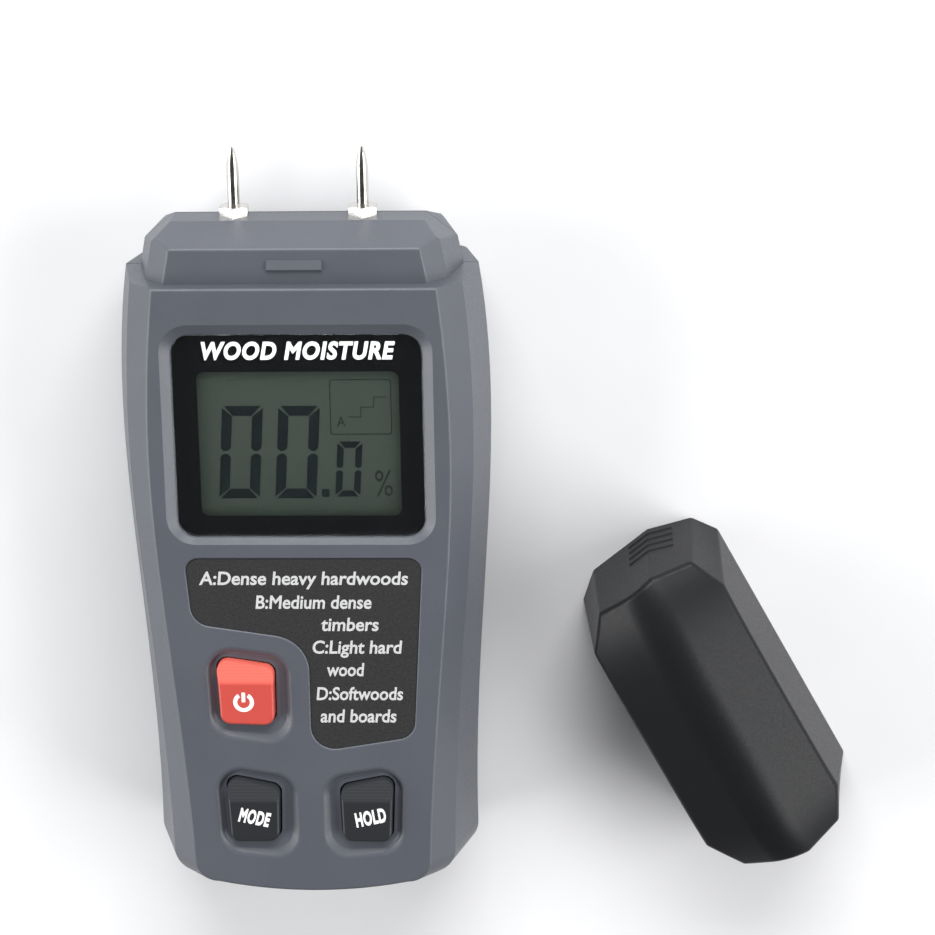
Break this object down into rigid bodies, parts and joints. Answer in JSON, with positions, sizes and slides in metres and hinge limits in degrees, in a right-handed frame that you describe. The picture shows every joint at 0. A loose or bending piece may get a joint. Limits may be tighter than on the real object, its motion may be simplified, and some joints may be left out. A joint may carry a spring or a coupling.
{
  "type": "moisture meter",
  "caption": "Handheld pin-type wood moisture meter with display, three keys, sliding battery door and a separate cap.",
  "frame": {"origin": "on the rear cover's flat back, on its centre line, 60 mm up from the bottom end", "axes": "+Y along the meter towards the pins, +Z out of the display face, +X to the right of someone reading it"},
  "size_m": [0.133, 0.138, 0.0303],
  "materials": {
    "grey_housing": "fine spark-eroded grain, satin",
    "black_cap": "fine grain, satin",
    "clear_window": "polished clear acrylic",
    "lcd": "grey-green liquid crystal panel",
    "charcoal_label": "fine grain",
    "red_key": "satin",
    "black_key": "satin",
    "nickel": "bright nickel plate",
    "screw_steel": "zinc plated",
    "tin": "tinned",
    "board": "solder mask over glass fibre",
    "chip_black": "moulded epoxy",
    "white_plastic": "plain",
    "black_plastic": "plain",
    "elastomer": "soft silicone",
    "white_wire": "insulation",
    "red_wire": "insulation",
    "black_wire": "insulation",
    "battery_case": "printed steel can"
  },
  "bodies": {
    "meter": {"front_cover": "grey_housing", "rear_cover": "grey_housing", "display_window": "clear_window", "lcd_glass": "lcd", "lcd_frame": "white_plastic", "zebra_connector": "elastomer", "legend_label": "charcoal_label", "main_board": "board", "controller_chip": "chip_black", "clock_crystal": "tin", "board_components": "chip_black", "case_screws": "screw_steel", "board_screws": "screw_steel", "probe_pins": "nickel", "pin_collars": "nickel", "lock_nuts": "nickel", "solder_lugs": "tin", "probe_lead_left": "white_wire", "probe_lead_right": "white_wire", "battery": "battery_case", "battery_snap": "black_plastic", "battery_lead_red": "red_wire", "battery_lead_black": "black_wire", "power_switch": "chip_black", "mode_switch": "chip_black", "hold_switch": "chip_black"},
    "power_button": {"power_key": "red_key", "power_plunger": "white_plastic"},
    "mode_button": {"mode_key": "black_key", "mode_plunger": "white_plastic"},
    "hold_button": {"hold_key": "black_key", "hold_plunger": "white_plastic"},
    "door": {"battery_door": "grey_housing"},
    "cap": {"protective_cap": "black_cap"}
  },
  "joints": [
    {"name": "power_press", "type": "slide", "parent": "meter", "child": "power_button", "axis": [0, 0, -1], "range_m": [0, 0.0005], "stiffness_N_per_m": 400, "springref_m": -0.0005},
    {"name": "mode_press", "type": "slide", "parent": "meter", "child": "mode_button", "axis": [0, 0, -1], "range_m": [0, 0.0005], "stiffness_N_per_m": 400, "springref_m": -0.0005},
    {"name": "hold_press", "type": "slide", "parent": "meter", "child": "hold_button", "axis": [0, 0, -1], "range_m": [0, 0.0005], "stiffness_N_per_m": 400, "springref_m": -0.0005},
    {"name": "door_slide", "type": "slide", "parent": "meter", "child": "door", "axis": [0, -1, 0], "range_m": [0, 0.06]},
    {"name": "cap_lift", "type": "slide", "parent": "meter", "child": "cap", "axis": [0, 0, 1], "range_m": [0, 0.05]}
  ]
}
